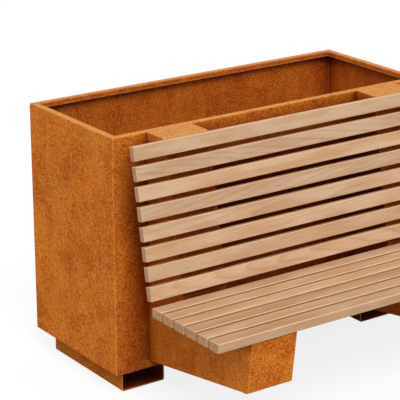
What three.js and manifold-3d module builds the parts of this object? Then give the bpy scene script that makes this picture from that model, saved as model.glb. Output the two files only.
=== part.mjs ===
// Bench with planter: an open rectangular planter of folded weathering steel on two tube feet, with a
// slatted hardwood seat and leaning back carried by two boxed brackets bolted to its front wall.
// Millimetres. +Z up, X along the bench, -Y is the side that people sit on. The origin is on the ground
// under the middle of the whole part.

import * as THREE from 'three';
import { mergeVertices } from 'three/addons/utils/BufferGeometryUtils.js';
import Module from 'manifold-3d';

const wasm = await Module();
wasm.setup();

// Planter
const planterLength = 1500;
const planterDepth = 600;
const rimHeight = 1040;
const wallSheet = 3;
const floorSheet = 4;
const rimWidth = 30;
const rimLip = 20;
const bottomFlange = 25;
const wallBendInside = 2;
const drainDiameter = 20;
const drainColumnShares = [-0.3, 0, 0.3];
const drainRowShares = [-0.25, 0.25];

// Feet
const footHeight = 95;
const footWidth = 195;
const footSheet = 4;
const footBendInside = 4;
const footSideInset = 55;
const footEndInset = 50;

// Brackets
const bracketWidth = 200;
const bracketInset = 150;
const bracketSheet = 3;
const bracketBendInside = 3;
const topPlateDepth = 114;
const armFrontHeight = 220;
const armRearRise = 28;
const frontLeanAngle = THREE.MathUtils.degToRad(7.5);
const rearFlangeWidth = 42;
const bottomLipWidth = 28;
const frontLipWidth = 25;
const foldRelief = 2;
const ribForward = 90;
const ribFoldWidth = 25;

// Slats
const backLeanAngle = THREE.MathUtils.degToRad(10.7);
const backSlatWidth = 54;
const backSlatThickness = 26;
const backSlatSpacing = 20;
const backTopDrop = 2;
const backSeatClearance = 16;
const seatHeight = 460;
const seatDepth = 412;
const seatSlatWidth = 57;
const seatSlatThickness = 36;
const seatSlatSpacing = 14;
const seatRearGap = 20;
const seatNosing = 6.5;
const slatEdgeRadius = 3;

// Flanged bolts and nuts
const boltDiameter = 10;
const boltHoleClearance = 0.5;
const boltFlangeDiameter = 22;
const boltFlangeThickness = 2;
const hexAcrossFlats = 16;
const boltHeadHeight = 8;
const nutHeight = 8.4;
const nutThreadClearance = 0.3;
const boltTipLength = 5;
const boltTipChamfer = 1;
const boltEdgeDistance = 26;
const boltTopDrop = 90;
const boltBottomRise = 80;

// Gap between pieces that meet, and the overrun of cutting tools and joined strips
const fitGap = 0.3;
const overrun = 1;

// Facets of round forms
const bendSteps = 3;
const slatCornerSteps = 3;
const footCornerSteps = 4;
const roundSteps = 20;

const FULL_TURN = 2 * Math.PI;
const QUARTER_TURN = Math.PI / 2;

// Places worked out from the sizes above
const seatPlateHeight = seatHeight - seatSlatThickness - fitGap;
const seatPlateRear = leaningFaceAt(seatPlateHeight);
const seatReach = seatPlateRear + seatRearGap + seatDepth;
const armReach = seatReach - seatNosing;
const frontWallY = (seatReach - planterDepth) / 2;
const rearWallY = frontWallY + planterDepth;
const armRearHeight = footHeight + armRearRise;
const armFrontForward = armReach - (seatPlateHeight - armFrontHeight) * Math.tan(frontLeanAngle);
const armRiseAngle = Math.atan2(armFrontHeight - armRearHeight, armFrontForward);
const bracketBendOutside = bracketSheet + bracketBendInside;
const bracketCentreX = planterLength / 2 - bracketInset - bracketWidth / 2;
const boltX = bracketWidth / 2 - boltEdgeDistance;
const boltHeights = [rimHeight - boltTopDrop, armRearHeight + boltBottomRise];
const boltHoleRadius = boltDiameter / 2 + boltHoleClearance;

// Distance in front of the planter wall of the brackets' leaning face at a height
function leaningFaceAt(height) {
  return topPlateDepth + (rimHeight - height) * Math.tan(backLeanAngle);
}

// A point of the brackets' underside: a distance up its slope and a distance above it
function armUnderside(along, above) {
  const cos = Math.cos(armRiseAngle);
  const sin = Math.sin(armRiseAngle);
  return {
    forward: along * cos - above * sin,
    height: armRearHeight + along * sin + above * cos,
  };
}

// As many slats as fill a run at about the given spacing, and the pitch that spreads them evenly over it
function slatRow(run, width, spacing) {
  const count = Math.max(2, Math.round((run + spacing) / (width + spacing)));
  return { count, pitch: (run - width) / (count - 1) };
}

// Materials
function weatheringSteel() {
  return new THREE.MeshStandardMaterial({ color: '#b0622b', roughness: 0.92, metalness: 0.15 });
}

function hardwood() {
  return new THREE.MeshStandardMaterial({ color: '#cda57d', roughness: 0.7, metalness: 0 });
}

function zincSteel() {
  return new THREE.MeshStandardMaterial({ color: '#a6a8a8', roughness: 0.4, metalness: 1 });
}

// Joining and cutting
function toSolid(geometry) {
  const bare = geometry.clone();
  bare.deleteAttribute('normal');
  bare.deleteAttribute('uv');
  const merged = mergeVertices(bare);
  return new wasm.Manifold(new wasm.Mesh({
    numProp: 3,
    vertProperties: Float32Array.from(merged.attributes.position.array),
    triVerts: Uint32Array.from(merged.index.array),
  }));
}

function toGeometry(solid) {
  const mesh = solid.getMesh();
  const geometry = new THREE.BufferGeometry();
  geometry.setAttribute('position', new THREE.BufferAttribute(mesh.vertProperties, 3));
  geometry.setIndex(new THREE.BufferAttribute(mesh.triVerts, 1));
  const faceted = geometry.toNonIndexed();
  faceted.computeVertexNormals();
  return faceted;
}

function join(geometries) {
  const solids = geometries.map(toSolid);
  return toGeometry(solids.reduce((whole, piece) => whole.add(piece)));
}

function cut(geometry, tools) {
  return toGeometry(tools.reduce((whole, tool) => whole.subtract(toSolid(tool)), toSolid(geometry)));
}

// The same form on the other side of the X = 0 plane
function mirrored(geometry) {
  const mirror = geometry.index ? geometry.toNonIndexed() : geometry.clone();
  mirror.scale(-1, 1, 1);
  const position = mirror.attributes.position;
  const second = new THREE.Vector3();
  const third = new THREE.Vector3();
  for (let i = 0; i < position.count; i += 3) {
    second.fromBufferAttribute(position, i + 1);
    third.fromBufferAttribute(position, i + 2);
    position.setXYZ(i + 1, third.x, third.y, third.z);
    position.setXYZ(i + 2, second.x, second.y, second.z);
  }
  mirror.computeVertexNormals();
  return mirror;
}

// Flat outlines
function shapeOf(points) {
  return new THREE.Shape(points);
}

function roundHole(x, y, radius) {
  return new THREE.Path().absarc(x, y, radius, 0, FULL_TURN, true);
}

// The arc that rounds the corner between two straight runs
function roundedCorner(before, corner, after, radius) {
  const arriving = corner.clone().sub(before).normalize();
  const leaving = after.clone().sub(corner).normalize();
  const turn = Math.atan2(arriving.cross(leaving), arriving.dot(leaving));
  const tangent = radius * Math.tan(Math.abs(turn) / 2);
  const start = corner.clone().addScaledVector(arriving, -tangent);
  const side = Math.sign(turn);
  const centre = new THREE.Vector2(-arriving.y, arriving.x).multiplyScalar(side * radius).add(start);
  const points = [];
  for (let i = 0; i <= bendSteps; i += 1) {
    points.push(start.clone().rotateAround(centre, (turn * i) / bendSteps));
  }
  return points;
}

// A path set over to its left by a distance
function leftOf(path, distance) {
  const normals = path.slice(1).map((point, i) => {
    const run = point.clone().sub(path[i]).normalize();
    return new THREE.Vector2(-run.y, run.x);
  });
  return path.map((point, i) => {
    const first = normals[Math.max(i - 1, 0)];
    const last = normals[Math.min(i, normals.length - 1)];
    const middle = first.clone().add(last).normalize();
    return point.clone().addScaledVector(middle, distance / middle.dot(first));
  });
}

// Section of a folded sheet: the path is its one face, and the sheet lies to the left of the path
function foldedSection(path, sheet, bendInside) {
  const face = (points, leftRadius, rightRadius) => points.flatMap((point, i) => {
    if (i === 0 || i === points.length - 1) return [point];
    const arriving = point.clone().sub(points[i - 1]);
    const leaving = points[i + 1].clone().sub(point);
    const radius = arriving.cross(leaving) > 0 ? leftRadius : rightRadius;
    return roundedCorner(points[i - 1], point, points[i + 1], radius);
  });
  const near = face(path, bendInside + sheet, bendInside);
  const far = face(leftOf(path, sheet), bendInside, bendInside + sheet);
  return shapeOf([...near, ...far.reverse()]);
}

function roundedRectangle(width, height, radius) {
  const x = width / 2;
  const y = height / 2;
  const shape = new THREE.Shape();
  shape.absarc(x - radius, y - radius, radius, 0, QUARTER_TURN);
  shape.absarc(radius - x, y - radius, radius, QUARTER_TURN, 2 * QUARTER_TURN);
  shape.absarc(radius - x, radius - y, radius, 2 * QUARTER_TURN, 3 * QUARTER_TURN);
  shape.absarc(x - radius, radius - y, radius, 3 * QUARTER_TURN, FULL_TURN);
  return shape;
}

// Extrusions. The outline's first and second directions and the way it is drawn out are unit vectors.
function extruded(shape, length, first, second, curveSegments = bendSteps) {
  const settings = { depth: length, bevelEnabled: false, steps: 1, curveSegments };
  const geometry = new THREE.ExtrudeGeometry(shape, settings);
  const out = first.clone().cross(second);
  return geometry.applyMatrix4(new THREE.Matrix4().makeBasis(first, second, out));
}

const X = new THREE.Vector3(1, 0, 0);
const Y = new THREE.Vector3(0, 1, 0);
const Z = new THREE.Vector3(0, 0, 1);

// An outline in Y and Z, drawn out along X and centred on X = 0
function alongBench(shape, length, curveSegments) {
  return extruded(shape, length, Y, Z, curveSegments).translate(-length / 2, 0, 0);
}

function boltHoleCutter(x, z) {
  const length = 2 * (wallSheet + bracketSheet + bracketBendOutside + overrun);
  return new THREE.CylinderGeometry(boltHoleRadius, boltHoleRadius, length, roundSteps).translate(x, 0, z);
}

// Planter wall: a sheet folded at the top into the flat rim and its lip, and at the bottom into the flange
// that carries the floor. It is mitred at both ends. Its outer face is Y = 0 and +Y is the inside.
function wallGeometry(length) {
  const section = foldedSection([
    new THREE.Vector2(rimWidth, rimHeight - rimLip),
    new THREE.Vector2(rimWidth, rimHeight),
    new THREE.Vector2(0, rimHeight),
    new THREE.Vector2(0, footHeight),
    new THREE.Vector2(bottomFlange, footHeight),
  ], wallSheet, wallBendInside);
  const geometry = alongBench(section, length);
  const position = geometry.attributes.position;
  for (let i = 0; i < position.count; i += 1) {
    const mitre = position.getY(i) + fitGap;
    position.setX(i, position.getX(i) - Math.sign(position.getX(i)) * mitre);
  }
  geometry.computeVertexNormals();
  return geometry;
}

function frontWallGeometry() {
  const cutters = [];
  for (const side of [-1, 1]) {
    for (const x of [-boltX, boltX]) {
      for (const z of boltHeights) cutters.push(boltHoleCutter(side * bracketCentreX + x, z));
    }
  }
  return cut(wallGeometry(planterLength), cutters);
}

function floorGeometry() {
  const edge = wallSheet + wallBendInside + fitGap;
  const x = planterLength / 2 - edge;
  const y = planterDepth / 2 - edge;
  const shape = shapeOf([
    new THREE.Vector2(-x, -y),
    new THREE.Vector2(x, -y),
    new THREE.Vector2(x, y),
    new THREE.Vector2(-x, y),
  ]);
  for (const column of drainColumnShares) {
    for (const row of drainRowShares) {
      shape.holes.push(roundHole(column * planterLength, row * planterDepth, drainDiameter / 2));
    }
  }
  return extruded(shape, floorSheet, X, Y, roundSteps / 2);
}

// Foot: a rectangular tube with open ends that runs from front to back. It stands up between the walls'
// bottom flanges to carry the floor.
function footGeometry() {
  const length = planterDepth - 2 * footEndInset;
  const height = footHeight + wallSheet;
  const tube = roundedRectangle(footWidth, height, footBendInside + footSheet);
  tube.holes.push(roundedRectangle(footWidth - 2 * footSheet, height - 2 * footSheet, footBendInside));
  return extruded(tube, length, X, Z, footCornerSteps).translate(0, length / 2, height / 2);
}

// Brackets. Y = 0 is the planter's front wall, X = 0 the bracket's middle.
function bracketPoint(forward, height) {
  return new THREE.Vector2(-forward, height);
}

// Flat web of a cheek. It stands back from the wall and from the underside by the bend of the flange
// and of the lip, with a relief notch at the end of each fold.
function cheekWeb(flangeTop, lipEnd) {
  const rear = fitGap + bracketBendOutside;
  const slope = Math.tan(armRiseAngle);
  const lift = bracketBendOutside / Math.cos(armRiseAngle);
  const notchRoof = armUnderside(lipEnd + foldRelief, bracketBendOutside);
  const notchFoot = armUnderside(lipEnd + foldRelief, 0);
  const outline = [
    bracketPoint(fitGap, rimHeight),
    bracketPoint(topPlateDepth, rimHeight),
    bracketPoint(seatPlateRear, seatPlateHeight),
    bracketPoint(armReach, seatPlateHeight),
    bracketPoint(armFrontForward, armFrontHeight),
    bracketPoint(notchFoot.forward, notchFoot.height),
    bracketPoint(notchRoof.forward, notchRoof.height),
    bracketPoint(rear, armRearHeight + lift + rear * slope),
    bracketPoint(rear, flangeTop + foldRelief),
    bracketPoint(fitGap, flangeTop + foldRelief),
  ];
  return extruded(shapeOf(outline), bracketSheet, Y, Z);
}

// Section of a fold that leaves a web at X = 0: a bend, then a flat of the given width
function foldSection(width) {
  return foldedSection([
    new THREE.Vector2(0, bracketBendOutside + overrun),
    new THREE.Vector2(0, 0),
    new THREE.Vector2(width, 0),
  ], bracketSheet, bracketBendInside);
}

// Left cheek of a bracket: the web, the flange against the planter and the lip along the underside
function leftCheekGeometry() {
  const flangeTop = rimHeight - bracketSheet - fitGap - foldRelief;
  const flangeFoot = armRearHeight + bracketBendOutside + foldRelief;
  const lipStart = bracketBendOutside + foldRelief;
  const underside = armFrontForward / Math.cos(armRiseAngle);
  const lipEnd = underside - frontLipWidth - foldRelief;

  const web = cheekWeb(flangeTop, lipEnd);
  const flange = extruded(foldSection(rearFlangeWidth), flangeTop - flangeFoot, X, Y.clone().negate())
    .translate(0, -fitGap, flangeTop);
  const out = new THREE.Vector3(0, Math.sin(armRiseAngle), Math.cos(armRiseAngle));
  const lipFoot = armUnderside(lipStart, 0);
  const lip = extruded(foldSection(bottomLipWidth), lipEnd - lipStart, X, out)
    .translate(0, -lipFoot.forward, lipFoot.height);

  const holes = boltHeights.map((z) => boltHoleCutter(boltEdgeDistance, z));
  return cut(join([web, flange, lip]), holes).translate(-bracketWidth / 2, 0, 0);
}

const stripLength = bracketWidth - 2 * (bracketSheet + fitGap);

// Top plate and leaning face: one folded strip between the cheeks
function backStripGeometry() {
  const foot = seatPlateHeight + fitGap + bracketSheet * Math.sin(backLeanAngle);
  const section = foldedSection([
    bracketPoint(fitGap, rimHeight),
    bracketPoint(topPlateDepth, rimHeight),
    bracketPoint(leaningFaceAt(foot), foot),
  ], bracketSheet, bracketBendInside);
  return alongBench(section, stripLength);
}

// Seat plate, front face and the lip under it: one folded strip between the cheeks
function seatStripGeometry() {
  const lip = armUnderside(armFrontForward / Math.cos(armRiseAngle) - frontLipWidth, 0);
  const section = foldedSection([
    bracketPoint(seatPlateRear - bracketSheet / Math.cos(backLeanAngle), seatPlateHeight),
    bracketPoint(armReach, seatPlateHeight),
    bracketPoint(armFrontForward, armFrontHeight),
    bracketPoint(lip.forward, lip.height),
  ], bracketSheet, bracketBendInside);
  return alongBench(section, stripLength);
}

// Rib that ties the cheeks under the seat, folded at the top to lie under the seat plate
function ribGeometry() {
  const forward = seatPlateRear + ribForward;
  const top = seatPlateHeight - bracketSheet - fitGap;
  const sin = Math.sin(armRiseAngle);
  const cos = Math.cos(armRiseAngle);
  const above = bracketBendOutside + fitGap;
  const foot = armRearHeight + (above + (forward + bracketSheet) * sin) / cos;
  const section = foldedSection([
    bracketPoint(forward, foot),
    bracketPoint(forward, top),
    bracketPoint(forward + ribFoldWidth, top),
  ], bracketSheet, bracketBendInside);
  return alongBench(section, stripLength);
}

// Flanged hexagon bolt along Y: its seat is Y = 0, its head is on the +Y side
function boltGeometry() {
  const radius = boltDiameter / 2;
  const stack = wallSheet + fitGap + bracketSheet + fitGap + nutHeight;
  const tip = -(fitGap + stack + boltTipLength);
  const profile = [
    new THREE.Vector2(0, tip),
    new THREE.Vector2(radius - boltTipChamfer, tip),
    new THREE.Vector2(radius, tip + boltTipChamfer),
    new THREE.Vector2(radius, 0),
    new THREE.Vector2(boltFlangeDiameter / 2, 0),
    new THREE.Vector2(boltFlangeDiameter / 2, boltFlangeThickness / 2),
    new THREE.Vector2(hexAcrossFlats / 2, boltFlangeThickness),
    new THREE.Vector2(0, boltFlangeThickness),
  ];
  const shank = new THREE.LatheGeometry(profile, roundSteps);
  const hexRadius = hexAcrossFlats / Math.sqrt(3);
  const hexagon = new THREE.CylinderGeometry(hexRadius, hexRadius, boltHeadHeight, 6)
    .translate(0, boltFlangeThickness / 2 + boltHeadHeight / 2, 0);
  return join([shank, hexagon]);
}

// Nut along Y, with its seat at Y = 0 and its body on the -Y side
function nutGeometry() {
  const hexRadius = hexAcrossFlats / Math.sqrt(3);
  const corners = [];
  for (let i = 0; i < 6; i += 1) {
    corners.push(new THREE.Vector2(hexRadius, 0).rotateAround(new THREE.Vector2(), (i / 6) * FULL_TURN));
  }
  const shape = shapeOf(corners);
  shape.holes.push(roundHole(0, 0, boltDiameter / 2 + nutThreadClearance));
  return extruded(shape, nutHeight, X, Z, roundSteps / 2);
}

// Slat along X with eased edges, centred on the origin
function slatGeometry(thickness, width) {
  return alongBench(roundedRectangle(thickness, width, slatEdgeRadius), planterLength, slatCornerSteps);
}

// Assembly
function piece(name, geometry, material, x = 0, y = 0, z = 0) {
  const mesh = new THREE.Mesh(geometry, material);
  mesh.name = name;
  mesh.position.set(x, y, z);
  return mesh;
}

function planter() {
  const group = new THREE.Group();
  const front = piece('planter_front_wall', frontWallGeometry(), weatheringSteel(), 0, frontWallY);
  const rear = piece('planter_rear_wall', wallGeometry(planterLength), weatheringSteel(), 0, rearWallY);
  rear.rotation.z = Math.PI;
  const middleY = (frontWallY + rearWallY) / 2;
  const endX = planterLength / 2;
  const left = piece('planter_left_end', wallGeometry(planterDepth), weatheringSteel(), -endX, middleY);
  left.rotation.z = -QUARTER_TURN;
  const right = piece('planter_right_end', wallGeometry(planterDepth), weatheringSteel(), endX, middleY);
  right.rotation.z = QUARTER_TURN;
  const floorHeight = footHeight + wallSheet + fitGap;
  const floor = piece('planter_floor', floorGeometry(), weatheringSteel(), 0, middleY, floorHeight);
  group.add(front, rear, left, right, floor);
  const footX = endX - footSideInset - footWidth / 2;
  group.add(piece('left_foot', footGeometry(), weatheringSteel(), -footX, middleY));
  group.add(piece('right_foot', footGeometry(), weatheringSteel(), footX, middleY));
  return group;
}

function bracket(side, centreX) {
  const group = new THREE.Group();
  const leftCheek = leftCheekGeometry();
  group.add(
    piece(`${side}_bracket_left_cheek`, leftCheek, weatheringSteel()),
    piece(`${side}_bracket_right_cheek`, mirrored(leftCheek), weatheringSteel()),
    piece(`${side}_bracket_back_plate`, backStripGeometry(), weatheringSteel()),
    piece(`${side}_bracket_seat_plate`, seatStripGeometry(), weatheringSteel()),
    piece(`${side}_bracket_rib`, ribGeometry(), weatheringSteel()),
  );
  let number = 1;
  for (const z of boltHeights) {
    for (const x of [-boltX, boltX]) {
      const headY = wallSheet + fitGap;
      const nutY = -(fitGap + bracketSheet + fitGap);
      group.add(piece(`${side}_bracket_bolt_${number}`, boltGeometry(), zincSteel(), x, headY, z));
      group.add(piece(`${side}_bracket_nut_${number}`, nutGeometry(), zincSteel(), x, nutY, z));
      number += 1;
    }
  }
  group.position.set(centreX, frontWallY, 0);
  return group;
}

// The back slats stand in a group that leans with the brackets' faces
function back() {
  const group = new THREE.Group();
  const lowEnd = seatHeight + backSeatClearance;
  const run = (rimHeight - lowEnd) / Math.cos(backLeanAngle) - backTopDrop;
  const row = slatRow(run, backSlatWidth, backSlatSpacing);
  for (let i = 0; i < row.count; i += 1) {
    const down = backTopDrop + backSlatWidth / 2 + i * row.pitch;
    const forward = fitGap + backSlatThickness / 2;
    const geometry = slatGeometry(backSlatThickness, backSlatWidth);
    group.add(piece(`back_slat_${i + 1}`, geometry, hardwood(), 0, -forward, -down));
  }
  group.position.set(0, frontWallY - topPlateDepth, rimHeight);
  group.rotation.x = -backLeanAngle;
  return group;
}

// The seat slats lie flat, numbered from the back to the front edge
function seat() {
  const group = new THREE.Group();
  const row = slatRow(seatDepth, seatSlatWidth, seatSlatSpacing);
  for (let i = 0; i < row.count; i += 1) {
    const forward = seatSlatWidth / 2 + i * row.pitch;
    const geometry = slatGeometry(seatSlatWidth, seatSlatThickness);
    group.add(piece(`seat_slat_${i + 1}`, geometry, hardwood(), 0, -forward));
  }
  group.position.set(0, frontWallY - seatPlateRear - seatRearGap, seatHeight - seatSlatThickness / 2);
  return group;
}

const bench = new THREE.Group();
bench.add(planter());
bench.add(bracket('left', -bracketCentreX));
bench.add(bracket('right', bracketCentreX));
bench.add(back());
bench.add(seat());

export default bench;
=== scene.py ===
"""Bench with planter: folded weathering steel, hardwood slats and zinc-plated fixings.

Laid out as an add-on and run as a script. Metres, +Z up, X along the bench, -Y the side to sit on.
"""

import math
import random

import bmesh
import bpy
from bpy.props import FloatProperty, FloatVectorProperty, IntProperty, PointerProperty
from mathutils import Euler, Matrix, Vector


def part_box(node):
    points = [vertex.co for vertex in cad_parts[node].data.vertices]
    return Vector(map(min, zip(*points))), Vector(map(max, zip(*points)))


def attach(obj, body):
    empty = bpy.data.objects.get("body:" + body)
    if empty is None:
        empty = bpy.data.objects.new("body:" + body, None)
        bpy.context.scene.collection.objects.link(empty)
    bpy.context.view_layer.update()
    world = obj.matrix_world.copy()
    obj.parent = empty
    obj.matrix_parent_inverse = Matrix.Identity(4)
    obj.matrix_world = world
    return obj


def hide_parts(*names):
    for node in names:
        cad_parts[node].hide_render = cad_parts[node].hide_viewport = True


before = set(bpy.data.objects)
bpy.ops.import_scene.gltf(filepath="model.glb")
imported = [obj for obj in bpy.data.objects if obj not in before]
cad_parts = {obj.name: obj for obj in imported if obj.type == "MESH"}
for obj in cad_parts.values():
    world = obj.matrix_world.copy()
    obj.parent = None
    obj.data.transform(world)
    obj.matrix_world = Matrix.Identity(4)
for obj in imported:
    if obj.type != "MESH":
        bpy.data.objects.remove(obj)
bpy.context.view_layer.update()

bl_info = {
    "name": "Bench with planter",
    "version": (1, 0, 0),
    "blender": (4, 5, 0),
    "location": "3D View > Sidebar > Bench",
    "description": "Builds a planter bench of folded weathering steel with hardwood slats",
    "category": "Object",
}

BODY = "root"
MM = 0.001
SIDES = ("left", "right")
HANDS = (-1, 1)
UP = (0, 0, 1)
ALONG = (1, 0, 0)
FRONTWARD = (0, -1, 0)
WHITE = (1, 1, 1, 1)
STEEL_SLOT = "weathering_steel"
WOOD_SLOT = "hardwood"
FIXING_SLOT = "fasteners"

# Meshes: points merged, slivers dropped, and the facets and least angle of a dressed edge
MERGED = 1e-6
SLIVER = 1e-7
DRESSED_FACETS = 2
DRESSED_ANGLE = math.radians(40)

# Drain holes: where they lie from the middle, in shares of the planter's length and depth
DRAIN_COLUMN_SHARES = (-0.3, 0, 0.3)
DRAIN_ROW_SHARES = (-0.25, 0.25)
HOLE_STEPS = 40

# Weld beads: their radii, the length of a stitch and how many lie in a row
CORNER_BEAD = 3.2 * MM
STITCH_BEAD = 2.6 * MM
STITCH_LENGTH = 34 * MM
STITCHES = 4
# Ripples of a bead: points round it, rows in one, its length in radii, its curl and its depth in radii
BEAD_SIDES = 10
BEAD_ROWS = 4
BEAD_PITCH_SHARE = 0.8
BEAD_CURL = 0.35
BEAD_RELIEF = 0.14

# Where in its log a slat is cut: how far along it either way and from its pith, and how far off the grain
LOG_REACH = 9
PITH_REACH = (0.03, 0.12)
RING_SLOPE = 0.035
# Growth lines: the distance between them and how far they wander
RING_GAP = 5.5 * MM
RING_WANDER = 16 * MM

# Fixings: facets round them, rows in a turn of thread, and its depth as a share of the pitch
ROUND_STEPS = 48
THREAD_ROWS = 6
THREAD_DEPTH_SHARE = 0.55
# Corners of a hexagon, turned down at its end
HEX_CHAMFER = math.radians(30)
CHAMFER_ROWS = 5
# A bolt's tip: the shares of its radius that it tapers through, and its length
TIP_SHARES = (0.62, 0.8)
TIP = 1.2 * MM
# A bolt's flange: its eased edge, upright edge and rise, and the gap under the head
EASED = 0.4 * MM
FLANGE_EDGE = 1 * MM
FLANGE_RISE = 2 * MM
HEAD_GAP = 0.3 * MM
# How far inside the nut's face a bolt's thread ends and its plain shank starts
THREAD_REST = (1 * MM, 1.5 * MM)
# The hollow in a bolt's head, its slope, and a nut's play on its bolt
DISH = 0.6 * MM
DISH_RUN = 0.8 * MM
BORE_GAP = 0.05 * MM
# A screw's point: shares of its radius, and how far back from the tip the second and the full one lie
POINT_SHARES = (0.1, 0.9)
POINT_RUN = (4 * MM, 6 * MM)
# Levels above a screw's seat: its flange's eased edge, upright edge and rise, then the hexagon's foot, top
# and hollow
SCREW_FLANGE = (0.3 * MM, 0.8 * MM, 1.6 * MM)
SCREW_HEAD = (1.8 * MM, 5.2 * MM, 4.8 * MM)
# What a screw's flange is wider than half the flats at its rise, and what its hollow is narrower
SCREW_WIDER = 1.2 * MM
SCREW_NARROWER = (0.9 * MM, 1.4 * MM)

# Pinkness of a slat, what its faces that look up add to it, and how far it clouds
BLUSH = (0.08, 0.4)
TOP_BLUSH = 0.3
CLOUD_BLUSH = 0.4

# Painted shade and shadow: colours that the rust is multiplied by where it lies in shade
SHADED_TINT = (0.96, 0.75, 0.42)
PAINTED_BACK_SHADE_TINT = (0.62, 0.42, 0.28)
PAINTED_SEAT_SHADE_TINT = (0.66, 0.56, 0.52)
PAINTED_INSIDE_SHADE_TINT = (0.85, 0.74, 0.66)
PAINTED_RIM_SHADOW_TINT = (0.42, 0.2, 0.15)

# Painted shade behind the back: its soft edge, the shares of it that its ends take, and how far in front
# of the planter it is gone and still full
BACK_SHADE = 0.06
BACK_ENDS = (0.75, 2.5)
BACK_DEPTH = (0.34, 0.24)
# How far under the top of the back it starts and how far below the last slat it ends, on two sheets
WALL_SHADE = (0.19, 0.15)
BRACKET_SHADE = (0.06, 0.11)
# Painted shade under the seat: how far below the slats it is gone and full, how far behind the front
# edge it is weak and full, and what is left of it where it is weak
SEAT_SHADE = (0.07, 0.01)
SEAT_SHADE_RUN = (0.3, 0.05)
SEAT_SHADE_REST = 0.2

# Strength of each layer of the finishes
RED_SHARE = 0.75
OCHRE_SHARE = 0.8
PIT_SHARE = 0.3
FINE_SHARES = (0.62, 0.2, 0.12, 0.06)
# Open tops: dust with a painted highlight
DUST_AND_HIGHLIGHT_SHARE = 0.7
RING_SHARE = 0.46
FIBRE_SHARE = 0.34
# Painted shade deep in the gaps between the slats
WOOD_GAP_SHADE_SHARE = 0.8
STAIN_SHARE = 0.45
POLISH_SHARE = 0.5
STEEL_SURFACE = {"Metallic": 0.0, "Specular IOR Level": 0.06, "Sheen Weight": 0.13, "Sheen Roughness": 0.5,
                 "Sheen Tint": (1.0, 0.28, 0.03, 1.0)}
WOOD_GLOSS = 0.25
STEEL_RELIEF = 0.35 * MM
WELD_RELIEF = 0.2 * MM
WOOD_RELIEF = 0.2 * MM
ZINC_RELIEF = 0.05 * MM

# Stage: the part of the floor's white that a shadow can take, all of its white, how far the floor reaches,
# and the camera's sensor and the end of its view
SHADOW_SHARE = 0.19
FLOOR_GLOW = 1.03
FLOOR_REACH = 40.0
SENSOR_WIDTH = 36
VIEW_END = 200


def srgb(red, green, blue):
    """A colour read off a screen, 0 to 255, as Blender's linear values."""
    def linear(value):
        value /= 255
        return value / 12.92 if value <= 0.04045 else ((value + 0.055) / 1.055) ** 2.4
    return linear(red), linear(green), linear(blue)


# Kinds of setting
def length(name, millimetres, description):
    return FloatProperty(name=name, description=description, default=millimetres * MM, min=0,
                         unit="LENGTH", subtype="DISTANCE")


def angle(name, degrees, description):
    return FloatProperty(name=name, description=description, default=math.radians(degrees),
                         unit="ROTATION", subtype="ANGLE")


def colour(name, red, green, blue, description):
    return FloatVectorProperty(name=name, description=description, default=srgb(red, green, blue),
                               min=0, max=1, size=3, subtype="COLOR")


def strength(name, value, description):
    return FloatProperty(name=name, description=description, default=value, min=0)


def spot(name, place, description):
    return FloatVectorProperty(name=name, description=description, default=place, size=3, subtype="XYZ",
                               unit="LENGTH")


# Settings
class SheetSettings(bpy.types.PropertyGroup):
    """Folded sheet of the planter, its feet and the brackets"""
    wall: length("Wall sheet", 3, "Thickness of the planter's walls")
    wall_bend: length("Wall bend", 2, "Inside radius of the folds in the planter's walls")
    rim: length("Rim width", 30, "Width of the flat rim round the top")
    rim_lip: length("Rim lip", 20, "Depth of the lip turned down inside the rim")
    flange: length("Bottom flange", 25, "Width of the flange that carries the floor")
    corner: length("Corner radius", 2.4, "Radius the welded corners are ground to")
    drain: length("Drain hole", 20, "Diameter of the drain holes")
    foot: length("Foot sheet", 4, "Wall thickness of the tube feet")
    foot_bend: length("Foot bend", 4, "Inside radius of the feet's corners")
    bracket: length("Bracket sheet", 3, "Thickness of the brackets' sheet")
    bracket_bend: length("Bracket bend", 0.8, "Inside radius of the brackets' folds")
    cheek_flange: length("Cheek flange", 42, "Width of the flange bolted to the planter")
    cheek_lip: length("Cheek lip", 28, "Width of the lip along a cheek's underside")
    front_lip: length("Front lip", 25, "Width of the lip under a bracket's front face")
    rib_fold: length("Rib fold", 25, "Width of the rib's fold under the seat plate")
    top_depth: length("Top plate depth", 114, "Depth of the brackets' top plate")
    front_height: length("Arm front", 220, "Height of the lower edge of a bracket's front face")
    rear_height: length("Arm rear", 123, "Height of a bracket's underside at the planter")
    front_lean: angle("Front lean", 7.5, "Lean of a bracket's front face from upright")
    relief: length("Fold relief", 2, "Width of the notch at the end of a fold")
    cut_edge: length("Cut edge", 0.5, "Radius that the sheets' cut edges are dressed to")
    bend_steps: IntProperty(name="Bend steps", description="Facets in each fold", default=7, min=2)


class SlatSettings(bpy.types.PropertyGroup):
    """Hardwood slats of the seat and the back"""
    lean: angle("Back lean", 10.7, "Lean of the back from upright")
    back_width: length("Back slat width", 54, "Width of a back slat")
    back_thickness: length("Back slat thickness", 26, "Thickness of a back slat")
    back_edge: length("Back edge", 3, "Radius along the back slats' long edges")
    seat_edge: length("Seat edge", 3.6, "Radius along the seat slats' long edges")
    end: length("Eased end", 1.6, "Radius round the slats' sawn ends")
    steps: IntProperty(name="Edge steps", description="Facets in each eased edge", default=6, min=2)
    seed: IntProperty(name="Seed", description="Which run of boards the slats are cut from", default=11)
    tone: FloatProperty(name="Tone spread", description="Spread of light and dark between slats",
                        default=0.07, min=0, max=1, subtype="FACTOR")


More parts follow.
